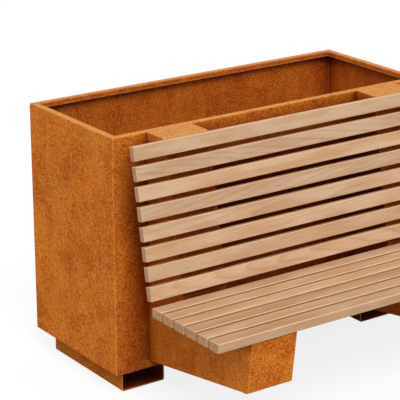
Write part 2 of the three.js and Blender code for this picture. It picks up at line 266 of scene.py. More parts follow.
class FixingSettings(bpy.types.PropertyGroup):
    """Bolts, nuts and screws"""
    bolt: length("Bolt diameter", 10, "Diameter of the bolts through the planter's front wall")
    flats: length("Across flats", 16, "Width across the flats of the bolt heads and nuts")
    bolt_flange: length("Bolt flange", 22, "Diameter of the flange under a bolt's head")
    pitch: length("Thread pitch", 1.5, "Pitch of the bolts' threads")
    screw: length("Screw diameter", 5.5, "Diameter of the screws that hold the slats")
    screw_head: length("Screw head", 12, "Diameter of the screws' flanged heads")
    screw_bite: length("Screw bite", 18, "How deep the screws go into the slats")
    screw_spread: length("Screw spread", 124, "Distance between the two screws of a slat on a bracket")


class FinishSettings(bpy.types.PropertyGroup):
    """Colours of the finishes"""
    rust: colour("Rust", 216, 122, 30, "Main colour of the rust layer")
    rust_red: colour("Red rust", 192, 88, 15, "Redder patches of the rust layer")
    rust_ochre: colour("Ochre rust", 215, 132, 42, "Yellower patches of the rust layer")
    rust_pale: colour("Pale rust", 228, 144, 72, "Light grains of the rust layer")
    rust_deep: colour("Deep rust", 152, 59, 4, "Hollows between the grains of the rust layer")
    # Abraded edges, lightened also as a painted highlight
    rust_worn: colour("Worn rust", 236, 172, 104, "Rust on rubbed edges")
    # Open tops: dust with a painted highlight
    rust_dusty: colour("Dusty rust", 236, 178, 108, "Rust on open tops")
    # Damp rust with painted shade where little sky is seen
    rust_damp: colour("Damp rust", 82, 15, 1, "Rust in places the weather hardly reaches")
    rust_dark: colour("Dark rust", 96, 44, 22, "Dark specks and weld scale")
    wood: colour("Wood", 215, 181, 147, "Main colour of the slats")
    wood_dark: colour("Late wood", 182, 138, 97, "Darker growth lines of the slats")
    wood_pink: colour("Heart wood", 206, 153, 108, "Pinker tone of some slats")
    wood_end: colour("End grain", 202, 156, 116, "Sawn ends of the slats")
    wood_end_line: colour("End grain line", 152, 106, 70, "Growth lines on the sawn ends")
    # Abraded top edges of the slats, lightened also as a painted highlight
    wood_worn: colour("Worn wood", 242, 208, 166, "Wood on rubbed edges")
    # Painted shade deep in the gaps between the slats
    wood_damp: colour("Sheltered wood", 158, 96, 20, "Wood deep in the gaps between the slats")
    zinc: colour("Zinc", 176, 178, 176, "Zinc-plated fixings")
    zinc_worn: colour("Worn zinc", 214, 214, 210, "Rubbed edges of the fixings")


class StageSettings(bpy.types.PropertyGroup):
    """Camera, lights and floor"""
    camera_place: spot("Camera place", (-4.0138, -5.1716, 2.8734), "Where the camera stands")
    camera_aim: spot("Camera aim", (-0.2023, 0.2566, 0.6358), "Point in the middle of the picture")
    camera_roll: angle("Camera roll", -0.19, "Roll of the camera about its line of sight")
    lens: FloatProperty(name="Lens", description="Focal length on a 36 mm sensor", default=158.6, min=1,
                        unit="CAMERA")
    horizon: strength("Horizon light", 0.5, "Strength of the light from low down")
    zenith: strength("Overhead light", 0.47, "Strength of the light from straight above")
    key: strength("Key light", 1.95, "Strength of the main light")
    key_turn: angle("Key turn", -28, "Turn of the main light from straight in front of the bench")
    key_rise: angle("Key rise", 48, "Height of the main light above the horizon")
    key_spread: angle("Key spread", 32, "Apparent size of the main light")
    floor: colour("Floor", 204, 204, 204, "Colour of the floor")


# Outlines of folded sheet. A point is a 2D vector.
def corner_arc(before, corner, after, radius, steps):
    """The arc that rounds the corner between two straight runs."""
    arriving = (corner - before).normalized()
    leaving = (after - corner).normalized()
    turn = math.atan2(arriving.cross(leaving), arriving.dot(leaving))
    start = corner - arriving * radius * math.tan(abs(turn) / 2)
    side = math.copysign(1, turn)
    centre = start + Vector((-arriving.y, arriving.x)) * side * radius
    return [centre + Matrix.Rotation(turn * k / steps, 2) @ (start - centre) for k in range(steps + 1)]


def rounded(points, radii, steps):
    """A closed outline with each corner rounded to its own radius. Zero keeps a corner sharp."""
    outline = []
    for i, (point, radius) in enumerate(zip(points, radii)):
        if radius:
            outline += corner_arc(points[i - 1], point, points[(i + 1) % len(points)], radius, steps)
        else:
            outline.append(point)
    return outline


def left_of(path, distance):
    """A path set over to its left."""
    runs = [(b - a).normalized() for a, b in zip(path, path[1:])]
    sides = [Vector((-run.y, run.x)) for run in runs]
    moved = []
    for i, point in enumerate(path):
        first, last = sides[max(i - 1, 0)], sides[min(i, len(sides) - 1)]
        middle = (first + last).normalized()
        moved.append(point + middle * distance / middle.dot(first))
    return moved


def folded_section(path, sheet, inside, steps):
    """Closed section of a folded sheet: the path is its one face and the sheet lies to the left of it."""
    path = [Vector(p) for p in path]

    def face(points, left_radius, right_radius):
        line = [points[0]]
        for before, corner, after in zip(points, points[1:], points[2:]):
            turns_left = (corner - before).cross(after - corner) > 0
            line += corner_arc(before, corner, after, left_radius if turns_left else right_radius, steps)
        return line + [points[-1]]

    near = face(path, inside + sheet, inside)
    far = face(left_of(path, sheet), inside, inside + sheet)
    return near + far[::-1]


def rounded_rectangle(width, height, radius, steps):
    x, y = width / 2, height / 2
    points = [Vector(p) for p in ((x, -y), (x, y), (-x, y), (-x, -y))]
    return rounded(points, [radius] * 4, steps)


def evenly_round(count):
    """Angles set evenly round a circle."""
    return [2 * math.pi * k / count for k in range(count)]


# Meshes
def loops_between(bm, first, second):
    """Quads between two rings of vertices of the same length."""
    for i in range(len(first)):
        j = (i + 1) % len(first)
        bm.faces.new((first[i], first[j], second[j], second[i]))


def skinned(bm, rows, place=None, endless=False):
    """A closed form over rings of points. An endless one meets its first ring again, and others have ends."""
    made = [[bm.verts.new(place(*point) if place else point) for point in row] for row in rows]
    following = made[1:] + made[:1] if endless else made[1:]
    for row, after in zip(made, following):
        loops_between(bm, row, after)
    if not endless:
        bm.faces.new(made[0][::-1])
        bm.faces.new(made[-1])


def store_attribute(mesh, name, value):
    """One number or vector for the whole mesh, kept on its points."""
    number = isinstance(value, float)
    attribute = mesh.attributes.new(name, "FLOAT" if number else "FLOAT_VECTOR", "POINT")
    values = [value] if number else list(value)
    attribute.data.foreach_set("value" if number else "vector", values * len(mesh.vertices))


def make_piece(name, material, slot, maker, *given, replaces=(), dressed=0, attributes=None):
    """A piece drawn by its maker, with its edges eased and smooth shading, tied to the frame."""
    bm = bmesh.new()
    maker(bm, *given)
    bmesh.ops.remove_doubles(bm, verts=bm.verts, dist=MERGED)
    bmesh.ops.dissolve_degenerate(bm, edges=bm.edges, dist=SLIVER)
    bmesh.ops.recalc_face_normals(bm, faces=bm.faces)
    for face in bm.faces:
        face.smooth = True
    mesh = bpy.data.meshes.new(name)
    bm.to_mesh(mesh)
    bm.free()
    for attribute, value in (attributes or {}).items():
        store_attribute(mesh, attribute, value)
    mesh.materials.append(material)
    piece = bpy.data.objects.new(name, mesh)
    bpy.context.scene.collection.objects.link(piece)
    if dressed:
        bevel = piece.modifiers.new("Dressed edges", "BEVEL")
        bevel.width = dressed
        bevel.segments = DRESSED_FACETS
        bevel.limit_method = "ANGLE"
        bevel.angle_limit = DRESSED_ANGLE
        bevel.miter_outer = "MITER_ARC"
    weighted = piece.modifiers.new("Flat faces", "WEIGHTED_NORMAL")
    weighted.keep_sharp = True
    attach(piece, BODY)
    if replaces:
        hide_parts(*replaces)


# Node trees
class Tree:
    """Short calls for building a node tree. An argument is a number, a colour or another node's output."""

    def __init__(self, tree):
        self.tree = tree

    def plug(self, socket, value):
        if isinstance(value, bpy.types.NodeSocket):
            self.tree.links.new(value, socket)
        elif value is not None:
            if socket.type == "RGBA" and len(value) == 3:
                value = (*value, 1)
            socket.default_value = value

    def node(self, kind, settings=None, *values, **inputs):
        """A node. Values go to its inputs in order, and named ones to the input of that name."""
        node = self.tree.nodes.new(kind)
        for name, value in (settings or {}).items():
            setattr(node, name, value)
        for socket, value in zip(node.inputs, values):
            self.plug(socket, value)
        for name, value in inputs.items():
            self.plug(node.inputs[name.replace("_", " ")], value)
        return node

    def group(self, name, maker, **inputs):
        """Outputs of a node of a shared group, which is made the first time it is asked for."""
        group = bpy.data.node_groups.get(name) or maker(name)
        return self.node("ShaderNodeGroup", {"node_tree": group}, **inputs).outputs

    def sum(self, operation, *values, clamp=False):
        settings = {"operation": operation, "use_clamp": clamp}
        return self.node("ShaderNodeMath", settings, *values).outputs[0]

    def times(self, *values):
        return self.sum("MULTIPLY", *values)

    def plus(self, *values, clamp=False):
        return self.sum("ADD", *values, clamp=clamp)

    def vector(self, operation, *values, **inputs):
        node = self.node("ShaderNodeVectorMath", {"operation": operation}, *values, **inputs)
        return node.outputs["Value" if operation in ("LENGTH", "DOT_PRODUCT") else "Vector"]

    def scaled(self, vector, factor):
        return self.vector("SCALE", vector, Scale=factor)

    def noise(self, vector, scale, detail, roughness, distortion=0.0, offset=None, stretch=None):
        """A cloud pattern. Offset sets it apart from the others, and stretch scales it along each axis."""
        if offset:
            vector = self.vector("ADD", vector, offset)
        if stretch:
            vector = self.vector("MULTIPLY", vector, stretch)
        return self.node("ShaderNodeTexNoise", Vector=vector, Scale=scale, Detail=detail,
                         Roughness=roughness, Distortion=distortion).outputs["Fac"]

    def spread(self, value, low, high, to_low=0.0, to_high=1.0):
        """Eases a value from to_low at low to to_high at high."""
        settings = {"interpolation_type": "SMOOTHSTEP"}
        return self.node("ShaderNodeMapRange", settings, value, low, high, to_low, to_high).outputs[0]

    def mix(self, factor, first, second, blend="MIX"):
        node = self.node("ShaderNodeMix", {"data_type": "RGBA", "blend_type": blend}, factor)
        colours = [socket for socket in node.inputs if socket.type == "RGBA"]
        self.plug(colours[0], first)
        self.plug(colours[1], second)
        return next(socket for socket in node.outputs if socket.type == "RGBA")

    def tinted(self, mask, body, tint):
        return self.mix(mask, body, tint, "MULTIPLY")

    def place(self):
        return self.node("ShaderNodeTexCoord").outputs["Object"]

    def axes(self, vector):
        return self.node("ShaderNodeSeparateXYZ", None, vector).outputs

    def normal(self):
        return self.node("ShaderNodeNewGeometry").outputs["Normal"]

    def stored(self, name, output="Fac"):
        return self.node("ShaderNodeAttribute", {"attribute_name": name}).outputs[output]

    def facing(self, direction, low, high, to_high=1.0, either=False):
        """Mask of the faces that look in a direction, or either way along it, by the cosine between them."""
        cosine = self.vector("DOT_PRODUCT", self.normal(), direction)
        return self.spread(self.sum("ABSOLUTE", cosine) if either else cosine, low, high, 0.0, to_high)


def new_group(name, inputs, **outputs):
    """A node group with named sockets. Returns its Tree, its given values and its output sockets."""
    group = bpy.data.node_groups.new(name, "ShaderNodeTree")
    kinds = {float: "Float", tuple: "Color", type(None): "Vector"}
    for title, default in inputs.items():
        kind = f"NodeSocket{kinds[type(default)]}"
        socket = group.interface.new_socket(title, in_out="INPUT", socket_type=kind)
        if default is not None:
            socket.default_value = default
    for title, kind in outputs.items():
        group.interface.new_socket(title, in_out="OUTPUT", socket_type=f"NodeSocket{kind}")
    given, out = group.nodes.new("NodeGroupInput"), group.nodes.new("NodeGroupOutput")
    return Tree(group), given.outputs, out.inputs


def edge_wear_and_highlight_group(name):
    """Mask of the outside edges, broken up as rubbing breaks it. On the rust it is also a painted highlight.
    """
    t, given, out = new_group(name, {"Radius": 0.003, "Break Up": 60.0, "Amount": 1.0}, Mask="Float")
    bevel = t.node("ShaderNodeBevel", {"samples": 6}, Radius=given["Radius"]).outputs[0]
    edge = t.spread(t.vector("DOT_PRODUCT", bevel, t.normal()), 0.995, 0.80)
    broken = t.spread(t.noise(t.place(), given["Break Up"], 4, 0.65), 0.25, 0.6)
    t.plug(out["Mask"], t.times(t.times(edge, broken), given["Amount"]))
    return t.tree


def shade_and_top_light_group(name):
    """Masks of painted shade where little sky is seen, of its deep part, and of open tops for dust and a
    painted highlight.
    """
    t, given, out = new_group(
        name, {"Reach": 0.55, "Open": 0.5, "Closed": 0.24, "Shelter": 1.0, "Dust": 1.0},
        Shaded="Float", Sheltered="Float", Dusty="Float")
    sky = t.node("ShaderNodeAmbientOcclusion", {"samples": 8}, Distance=given["Reach"]).outputs["AO"]
    hidden = t.spread(sky, given["Open"], given["Closed"])
    t.plug(out["Shaded"], t.spread(sky, t.plus(given["Open"], 0.07), t.plus(given["Closed"], 0.08)))
    t.plug(out["Sheltered"], t.times(hidden, given["Shelter"]))
    open_tops = t.times(t.facing(UP, 0.55, 0.95), t.sum("SUBTRACT", 1.0, hidden))
    t.plug(out["Dusty"], t.times(open_tops, given["Dust"]))
    return t.tree


def rust_group(name):
    """Colour, roughness and height of the rust layer on weathering steel."""
    colours = dict.fromkeys(("Main", "Red", "Ochre", "Dust", "Pale", "Deep", "Dark"), (0.5, 0.5, 0.5, 1))
    numbers = {"Speck Scale": 170.0, "Speck Amount": 1.0, "Scale Amount": 0.0, "Dusty": 0.0}
    t, given, out = new_group(name, colours | numbers, Color="Color", Roughness="Float", Height="Float")
    place = t.place()
    blotch = t.noise(place, 9.0, 5, 0.62, 0.3)
    cloud = t.noise(place, 3.1, 3, 0.5, 0.2, offset=(3.7, 1.9, 5.3))
    weathered = t.noise(place, 6.5, 4, 0.55, 0.4, offset=(1.3, 6.2, 2.9))
    speck = t.noise(place, given["Speck Scale"], 3, 0.6)
    grit = t.noise(place, 620.0, 2, 0.6, offset=(0.4, 7.1, 2.2))
    coarse = t.noise(place, 48.0, 4, 0.65, offset=(2.6, 4.1, 0.7))
    run = t.noise(place, 1.0, 3, 0.6, stretch=(34, 34, 1.6))
    pit = t.noise(place, 90.0, 3, 0.6, offset=(9.1, 0.3, 4.4))

    body = t.mix(t.times(t.spread(blotch, 0.56, 0.36), RED_SHARE), given["Main"], given["Red"])
    ochre = t.times(t.spread(cloud, 0.42, 0.7), t.spread(blotch, 0.3, 0.7))
    body = t.mix(t.times(ochre, OCHRE_SHARE), body, given["Ochre"])
    body = t.scaled(body, t.spread(weathered, 0.34, 0.66, 0.89, 1.08))
    # Open tops: dust with a painted highlight
    body = t.mix(given["Dusty"], body, given["Dust"])
    fine, *others = [t.times(layer, share) for layer, share in zip((speck, grit, coarse, run), FINE_SHARES)]
    for layer in others:
        fine = t.plus(fine, layer)
    pale = t.times(t.spread(fine, 0.5, 0.63), given["Speck Amount"])
    deep = t.times(t.spread(fine, 0.5, 0.36), given["Speck Amount"])
    deep = t.times(deep, t.spread(given["Dusty"], 0.0, 1.0, 1.0, 0.9))
    body = t.mix(deep, t.mix(pale, body, given["Pale"]), given["Deep"])
    pits = t.sum("MAXIMUM", t.times(t.spread(pit, 0.62, 0.74), PIT_SHARE), given["Scale Amount"])
    t.plug(out["Color"], t.mix(pits, body, given["Dark"]))
    rough = t.plus(t.spread(speck, 0.3, 0.7, 0.74, 0.86), t.spread(blotch, 0.3, 0.7, 0.04, -0.04))
    t.plug(out["Roughness"], rough)
    t.plug(out["Height"], t.plus(speck, t.times(grit, 0.5)))
    return t.tree


def grain_group(name):
    """Growth lines, fibre and tone of one slat. The grain runs close to X, off by the slope."""
    t, given, out = new_group(name, {"Place": None, "Slope": None},
                              Rings="Float", Fibre="Float", Cloud="Float", Height="Float")
    place = given["Place"]
    sloped = t.vector("ADD", place, t.scaled(given["Slope"], t.axes(place)["X"]))
    drawn = t.vector("MULTIPLY", sloped, (0.11, 1, 1))
    wander_y = t.noise(drawn, 11.0, 3, 0.5)
    wander_z = t.noise(drawn, 9.0, 3, 0.5, offset=(5.2, 1.3, 8.8))
    wander = t.node("ShaderNodeCombineXYZ", None, 0.5, wander_y, wander_z).outputs[0]
    moved = t.scaled(t.vector("SUBTRACT", wander, (0.5, 0.5, 0.5)), RING_WANDER)
    across = t.vector("MULTIPLY", t.vector("ADD", drawn, moved), (0, 1, 1))
    tooth = t.sum("FRACT", t.sum("DIVIDE", t.vector("LENGTH", across), RING_GAP))
    rings = t.sum("MAXIMUM", t.sum("POWER", tooth, 4.5), t.spread(tooth, 0.0, 0.1, 1.0, 0.0))
    fibre = t.noise(place, 1.0, 3, 0.6, stretch=(22, 620, 620))
    pores = t.spread(t.noise(place, 1.0, 2, 0.5, stretch=(70, 1500, 1500)), 0.6, 0.72)
    t.plug(out["Rings"], rings)
    t.plug(out["Fibre"], t.sum("MAXIMUM", t.spread(fibre, 0.42, 0.75), pores))
    t.plug(out["Cloud"], t.noise(place, 1.0, 3, 0.55, stretch=(3.4, 24, 24)))
    height = t.sum("SUBTRACT", t.times(rings, 0.4), t.times(fibre, 0.6))
    t.plug(out["Height"], t.sum("SUBTRACT", height, pores))
    return t.tree


def new_material(name):
    """A material with its Tree and its Principled BSDF."""
    material = bpy.data.materials.new(name)
    material.use_nodes = True
    return material, Tree(material.node_tree), material.node_tree.nodes["Principled BSDF"]


def shared_material(name, maker, **looks):
    """The material of that name, made the first time it is asked for."""
    return bpy.data.materials.get(name) or maker(name, **looks)


def raise_bump(t, shader, height, distance):
    bump = t.node("ShaderNodeBump", Height=height, Distance=distance)
    t.plug(shader.inputs["Normal"], bump.outputs[0])


def looking_in(t, middle):
    """Mask of the faces that look in on an upright line through middle."""
    towards = t.vector("MULTIPLY", t.vector("SUBTRACT", middle, t.place()), (1, 1, 0))
    return t.facing(towards, 0.0, 0.02)


def painted_back_shade_mask(t, above, below):
    """Mask of painted shade behind the back slats, from above under their top edge to below under the last.
    """
    slats = numbered("back_slat")
    low = min(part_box(node)[0].z for node in slats)
    high = max(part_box(node)[1].z for node in slats)
    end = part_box(slats[0])[1].x
    wall = planter_box()[0].y
    axes = t.axes(t.place())
    mask = t.spread(t.sum("ABSOLUTE", axes["X"]), *(end - BACK_SHADE * share for share in BACK_ENDS))
    for axis, start, full in (("Y", wall + MM, wall), ("Y", wall - BACK_DEPTH[0], wall - BACK_DEPTH[1]),
                              ("Z", low - below - BACK_SHADE, low - below),
                              ("Z", high - above + BACK_SHADE, high - above)):
        mask = t.times(mask, t.spread(axes[axis], start, full))
    return mask


def painted_seat_shade_mask(t):
    """Mask of painted shade on the brackets' sides close under the seat slats, stronger to the front."""
    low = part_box(numbered("seat_slat")[-1])[0]
    axes = t.axes(t.place())
    mask = t.facing(ALONG, 0.5, 0.9, either=True)
    mask = t.times(mask, t.spread(axes["Z"], low.z - SEAT_SHADE[0], low.z - SEAT_SHADE[1]))
    start, full = (low.y + run for run in SEAT_SHADE_RUN)
    return t.times(mask, t.spread(axes["Y"], start, full, SEAT_SHADE_REST, 1.0))


def rusted(name, worn=1.0, hidden=(0.5, 0.24), specks=1.0, speck_scale=170.0, scale_amount=0.0,
           relief=STEEL_RELIEF, backed=None, middle=None, seated=False):
    """Weathering steel. Its edge setting lightens its edges, as edge abrasion and a painted highlight, and
    scale_amount darkens it as on a weld. Hidden is the share of open sky at which damp rust with painted deep
    shade starts and is full, with a lighter painted shade starting a little before. A back shade paints shade
    on it behind the back slats, and a seat shade under the seat. Faces that look in on middle get painted
    shade, as inside a planter, and a painted shadow under the rim."""
    finish = bpy.context.scene.bench_finish
    material, t, shader = new_material(name)
    # Masks of painted shade where little sky is seen, and of open tops for dust with a painted highlight
    skylight = t.group("Weather", shade_and_top_light_group, Dust=DUST_AND_HIGHLIGHT_SHARE, Open=hidden[0], Closed=hidden[1])
    rust = t.group("Rust layer", rust_group, Main=finish.rust, Red=finish.rust_red, Ochre=finish.rust_ochre,
                   Dust=finish.rust_dusty, Pale=finish.rust_pale, Deep=finish.rust_deep,
                   Dark=finish.rust_dark, Dusty=skylight["Dusty"], Scale_Amount=scale_amount,
                   Speck_Scale=speck_scale, Speck_Amount=specks)
    # Abraded edges, lightened also as a painted highlight
    wear_and_highlight = t.group("Edge wear", edge_wear_and_highlight_group, Radius=7 * MM, Amount=worn)
    # Painted shade where little sky is seen; a seat shade keeps it off the faces that look to the front
    shaded = skylight["Shaded"]
    if seated:
        shaded = t.times(shaded, t.facing(FRONTWARD, 0.9, 0.5))
    body = t.tinted(shaded, rust["Color"], SHADED_TINT)
    # Painted shade on the brackets' sides under the seat
    if seated:
        body = t.tinted(painted_seat_shade_mask(t), body, PAINTED_SEAT_SHADE_TINT)
    # Painted shade on the steel behind the back slats
    if backed:
        body = t.tinted(painted_back_shade_mask(t, *backed), body, PAINTED_BACK_SHADE_TINT)
    if middle:
        # Painted shade on the faces that look into the planter
        inside = looking_in(t, middle)
        body = t.tinted(inside, body, PAINTED_INSIDE_SHADE_TINT)
        # Painted shadow under the planter's rim on those faces
        painted_rim_shadow = t.group("Weather", shade_and_top_light_group, Reach=0.18, Open=0.82, Closed=0.42)
        body = t.tinted(t.times(inside, painted_rim_shadow["Sheltered"]), body, PAINTED_RIM_SHADOW_TINT)
    # Damp rust with painted deep shade where little sky is seen
    body = t.mix(skylight["Sheltered"], body, finish.rust_damp)
    # Abraded edges lightened, partly as a painted highlight
    t.plug(shader.inputs["Base Color"], t.mix(wear_and_highlight["Mask"], body, finish.rust_worn))
    t.plug(shader.inputs["Roughness"], rust["Roughness"])
    for socket, value in STEEL_SURFACE.items():
        t.plug(shader.inputs[socket], value)
    raise_bump(t, shader, rust["Height"], relief)
    return material


def hardwood(name):
    """Oiled hardwood, with the grain placed by each slat's own attributes."""
    finish = bpy.context.scene.bench_finish
    material, t, shader = new_material(name)
    place = t.vector("ADD", t.place(), t.stored("ring_shift", "Vector"))
    grain = t.group("Wood grain", grain_group, Place=place, Slope=t.stored("ring_slope", "Vector"))
    cloud = grain["Cloud"]
    flushed = t.plus(t.stored("blush"), t.facing(UP, 0.55, 0.95, TOP_BLUSH))
    flushed = t.plus(flushed, t.spread(cloud, 0.3, 0.7, -CLOUD_BLUSH, CLOUD_BLUSH), clamp=True)
    body = t.mix(flushed, finish.wood, finish.wood_pink)
    body = t.mix(t.times(grain["Rings"], RING_SHARE), body, finish.wood_dark)
    body = t.mix(t.times(grain["Fibre"], FIBRE_SHARE), body, finish.wood_dark)
    toned = t.scaled(body, t.times(t.spread(cloud, 0.3, 0.7, 1.04, 0.96), t.stored("tone")))
    end = t.facing(ALONG, 0.75, 0.95, either=True)
    flecks = t.spread(t.noise(t.place(), 190.0, 3, 0.6), 0.4, 0.66, 0.0, 0.7)
    end_lines = t.sum("MAXIMUM", t.times(grain["Rings"], 0.4), flecks)
    body = t.mix(end, toned, t.mix(end_lines, finish.wood_end, finish.wood_end_line))
    # Painted shade deep in the gaps between the slats
    skylight = t.group("Weather", shade_and_top_light_group, Reach=30 * MM, Open=0.7, Closed=0.36, Shelter=WOOD_GAP_SHADE_SHARE)
    body = t.mix(skylight["Sheltered"], body, finish.wood_damp)
    uneven = t.spread(t.noise(t.place(), 30.0, 4, 0.65), 0.3, 0.6, 0.5, 0.9)
    # Abraded top edges lightened, partly as a painted highlight
    rubbed = t.times(t.stored("rubbed"), t.facing(UP, 0.05, 0.4))
    t.plug(shader.inputs["Base Color"], t.mix(t.times(rubbed, uneven), body, finish.wood_worn))
    rough = t.plus(t.times(grain["Fibre"], 0.12), 0.56)
    t.plug(shader.inputs["Roughness"], t.plus(rough, t.times(end, 0.25)))
    t.plug(shader.inputs["Specular IOR Level"], WOOD_GLOSS)
    raise_bump(t, shader, grain["Height"], WOOD_RELIEF)
    return material


def zinc_plate(name):
    """Zinc-plated steel, dulled unevenly and stained where it touches the rust."""
    finish = bpy.context.scene.bench_finish
    material, t, shader = new_material(name)
    dull = t.noise(t.place(), 260.0, 4, 0.6)
    stain = t.spread(t.noise(t.place(), 70.0, 4, 0.6), 0.5, 0.75)
    wear_and_highlight = t.group("Edge wear", edge_wear_and_highlight_group, Radius=1 * MM, Break_Up=200.0)
    body = t.mix(t.times(stain, STAIN_SHARE), finish.zinc, finish.rust_red)
    t.plug(shader.inputs["Base Color"], t.mix(t.times(wear_and_highlight["Mask"], POLISH_SHARE), body, finish.zinc_worn))
    t.plug(shader.inputs["Metallic"], t.spread(stain, 0.0, 1.0, 1.0, 0.6))
    t.plug(shader.inputs["Roughness"], t.spread(dull, 0.3, 0.7, 0.3, 0.5))
    raise_bump(t, shader, dull, ZINC_RELIEF)
    return material


# Sizes read from the frame
def numbered(stem):
    """The nodes of a row of like pieces, in order."""
    names = [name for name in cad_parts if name.startswith(stem)]
    return sorted(names, key=lambda name: int(name.rsplit("_", 1)[1]))


def planter_box():
    low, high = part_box("planter_left_end")[0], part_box("planter_right_end")[1]
    low.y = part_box("planter_front_wall")[0].y
    high.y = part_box("planter_rear_wall")[1].y
    return low, high


def planter_middle():
    low, high = planter_box()
    return (low + high) / 2


def bracket_point(forward, height):
    """A point of a bracket's outline, from its distance in front of the planter's wall and its height."""
    return Vector((-forward, height))


class Bracket:
    """The lines that a bracket's sheets follow. Its outlines are drawn in Y from the wall, and in Z."""

    def __init__(self, side):
        context = bpy.context.scene
        sheet = context.bench_sheet
        low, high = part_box(f"{side}_bracket_left_cheek")
        far_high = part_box(f"{side}_bracket_right_cheek")[1]
        planter_low, planter_high = planter_box()
        self.side = side
        self.wall = planter_low.y
        self.middle = (low.x + far_high.x) / 2
        self.half = (far_high.x - low.x) / 2
        self.gap = self.wall - high.y
        self.rim = planter_high.z
        self.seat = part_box(f"{side}_bracket_seat_plate")[1].z
        self.reach = self.wall - low.y
        self.lean = context.bench_slats.lean
        self.top_depth = sheet.top_depth
        self.seat_rear = self.leaning_face(self.seat)
        self.sheet = sheet.bracket
        self.inside = sheet.bracket_bend
        self.outside = self.sheet + self.inside
        self.steps = sheet.bend_steps
        self.front_height = sheet.front_height
        self.rear_height = sheet.rear_height
        self.front_foot = self.reach - (self.seat - self.front_height) * math.tan(sheet.front_lean)
        self.rise = math.atan2(self.front_height - self.rear_height, self.front_foot)
        self.underside = self.front_foot / math.cos(self.rise)

    def leaning_face(self, height):
        """Distance of the leaning face in front of the wall at a height."""
        return self.top_depth + (self.rim - height) * math.tan(self.lean)

    def under(self, along, above):
        """A point at a distance up the slope of the underside and a distance above it."""
        cos, sin = math.cos(self.rise), math.sin(self.rise)
        return bracket_point(along * cos - above * sin, self.rear_height + along * sin + above * cos)

    def place(self, y, z, x):
        return Vector((self.middle + x, self.wall + y, z))

    def strip(self, bm, path):
        """A folded strip between the cheeks, with one face along the path."""
        section = folded_section(path, self.sheet, self.inside, self.steps)
        inner = self.half - self.sheet
        skinned(bm, [[self.place(p.x, p.y, x) for p in section] for x in (-inner, inner)])


# Planter
def planter_shell(bm, sheet):
    """The four walls as one welded shell: the folded section swept round the planter."""
    low, high = planter_box()
    section = folded_section(
        [(sheet.rim, high.z - sheet.rim_lip), (sheet.rim, high.z), (0, high.z), (0, low.z),
         (sheet.flange, low.z)], sheet.wall, sheet.wall_bend, sheet.bend_steps)
    corners = ((high.x, high.y, 1, 1), (low.x, high.y, -1, 1), (low.x, low.y, -1, -1),
               (high.x, low.y, 1, -1))
    rows = []
    for point in section:
        inset = max(point.x, 0)
        radius = max(sheet.corner - inset, 0)
        row = []
        for quarter, (x, y, sign_x, sign_y) in enumerate(corners):
            centre = Vector((x - sign_x * (inset + radius), y - sign_y * (inset + radius), point.y))
            for k in range(sheet.bend_steps + 1):
                turn = (quarter + k / sheet.bend_steps) * math.pi / 2
                row.append(centre + Vector((math.cos(turn), math.sin(turn), 0)) * radius)
        rows.append(row)
    skinned(bm, rows, endless=True)


def drained_floor(bm, sheet):
    """The floor plate with its round drain holes."""
    low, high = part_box("planter_floor")
    planter_low, planter_high = planter_box()
    size = planter_high - planter_low
    middle = planter_middle()
    loops = [[(low.x, low.y), (high.x, low.y), (high.x, high.y), (low.x, high.y)]]
    for column in DRAIN_COLUMN_SHARES:
        for row in DRAIN_ROW_SHARES:
            x, y = middle.x + column * size.x, middle.y + row * size.y
            loops.append([(x + math.cos(a) * sheet.drain / 2, y + math.sin(a) * sheet.drain / 2)
                          for a in evenly_round(HOLE_STEPS)])
    edges = []
    for loop in loops:
        verts = [bm.verts.new((x, y, low.z)) for x, y in loop]
        edges += [bm.edges.new(pair) for pair in zip(verts, verts[1:] + verts[:1])]
    filled = bmesh.ops.triangle_fill(bm, use_beauty=True, edges=edges)
    faces = [part for part in filled["geom"] if isinstance(part, bmesh.types.BMFace)]
    grown = bmesh.ops.extrude_face_region(bm, geom=faces)
    upper = [part for part in grown["geom"] if isinstance(part, bmesh.types.BMVert)]
    bmesh.ops.translate(bm, vec=(0, 0, high.z - low.z), verts=upper)


def tube_foot(bm, side, sheet):
    """A rectangular tube with open ends, from front to back."""
    low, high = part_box(f"{side}_foot")
    size, middle = high - low, (high + low) / 2
    wall = 2 * sheet.foot
    outer = rounded_rectangle(size.x, size.z, sheet.foot + sheet.foot_bend, sheet.bend_steps)
    inner = rounded_rectangle(size.x - wall, size.z - wall, sheet.foot_bend, sheet.bend_steps)
    rows = [[(middle.x + p.x, y, middle.z + p.y) for p in outline]
            for outline, y in ((outer, low.y), (outer, high.y), (inner, high.y), (inner, low.y))]
    skinned(bm, rows, endless=True)


# Brackets
def fold_on(bm, outer, inner, away, inward, bracket, width):
    """Folds a flat on from a pair of edges: the bend turns from away to inward."""
    rows = [[outer[0], outer[1], inner[1], inner[0]]]
    starts = [outer[0].co.copy(), outer[1].co.copy()]
    corners = (starts[0], starts[1], starts[1], starts[0])
    radii = (bracket.outside, bracket.outside, bracket.inside, bracket.inside)
    for k in range(1, bracket.steps + 1):
        turn = math.pi / 2 * k / bracket.steps
        swing = away * math.sin(turn) - inward * math.cos(turn)
        rows.append([bm.verts.new(start + inward * bracket.outside + swing * radius)
                     for start, radius in zip(corners, radii)])
    rows.append([bm.verts.new(vert.co + inward * (width - bracket.outside)) for vert in rows[-1]])
    for row, following in zip(rows, rows[1:]):
        loops_between(bm, row, following)
    bm.faces.new(rows[-1])


